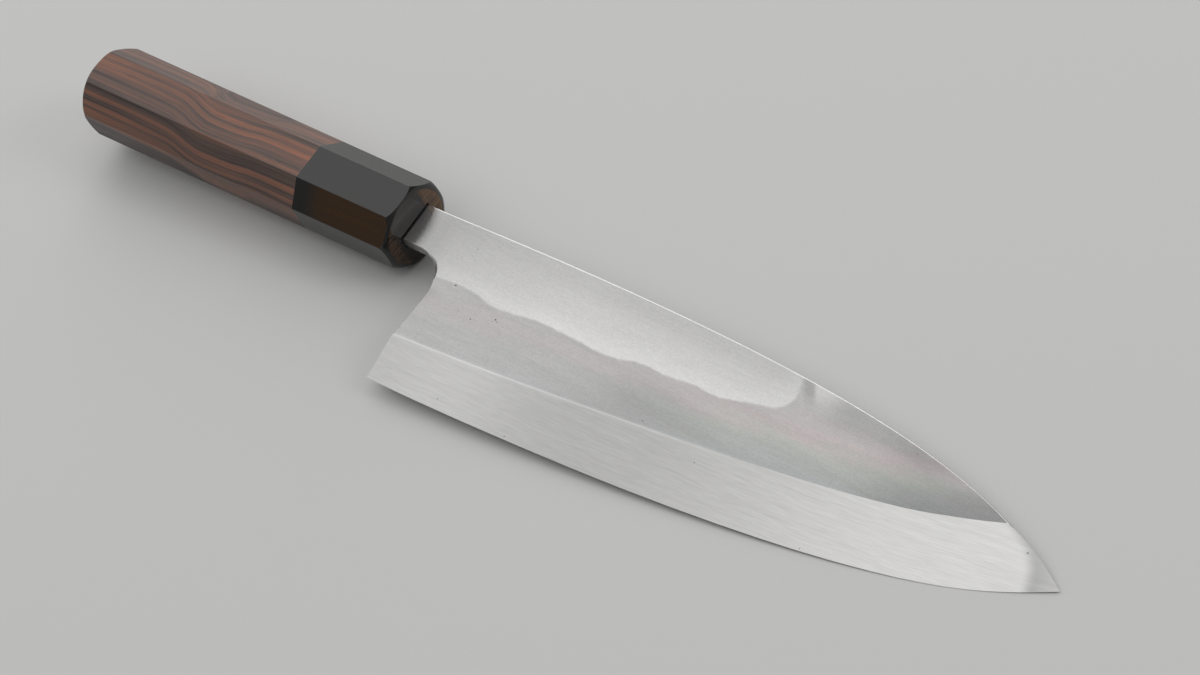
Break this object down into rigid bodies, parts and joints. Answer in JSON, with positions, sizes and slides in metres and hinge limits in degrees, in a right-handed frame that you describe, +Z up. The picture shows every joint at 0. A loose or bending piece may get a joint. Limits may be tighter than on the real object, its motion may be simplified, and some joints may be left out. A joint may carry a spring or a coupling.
{
  "type": "deba knife",
  "caption": "Single-bevel deba knife with a hollow-ground back, a horn ferrule and an octagonal ebony handle, lying on its side.",
  "frame": {"origin": "middle of the outer box on the table that the knife lies on", "axes": "+X along the handle to the tip, +Y towards the spine, +Z up out of the bevelled side, as the knife lies at rest"},
  "size_m": [0.3544, 0.0598, 0.0301],
  "materials": {
    "blade_steel": "satin bevel, fine-ground flat",
    "horn": "polished",
    "ebony": "satin",
    "dowel_wood": "raw",
    "resin": "cast"
  },
  "bodies": {
    "root": {"blade": "blade_steel", "horn_ferrule": "horn", "ebony_handle": "ebony", "core_dowel": "dowel_wood", "tang_bedding": "resin"}
  },
  "joints": []
}
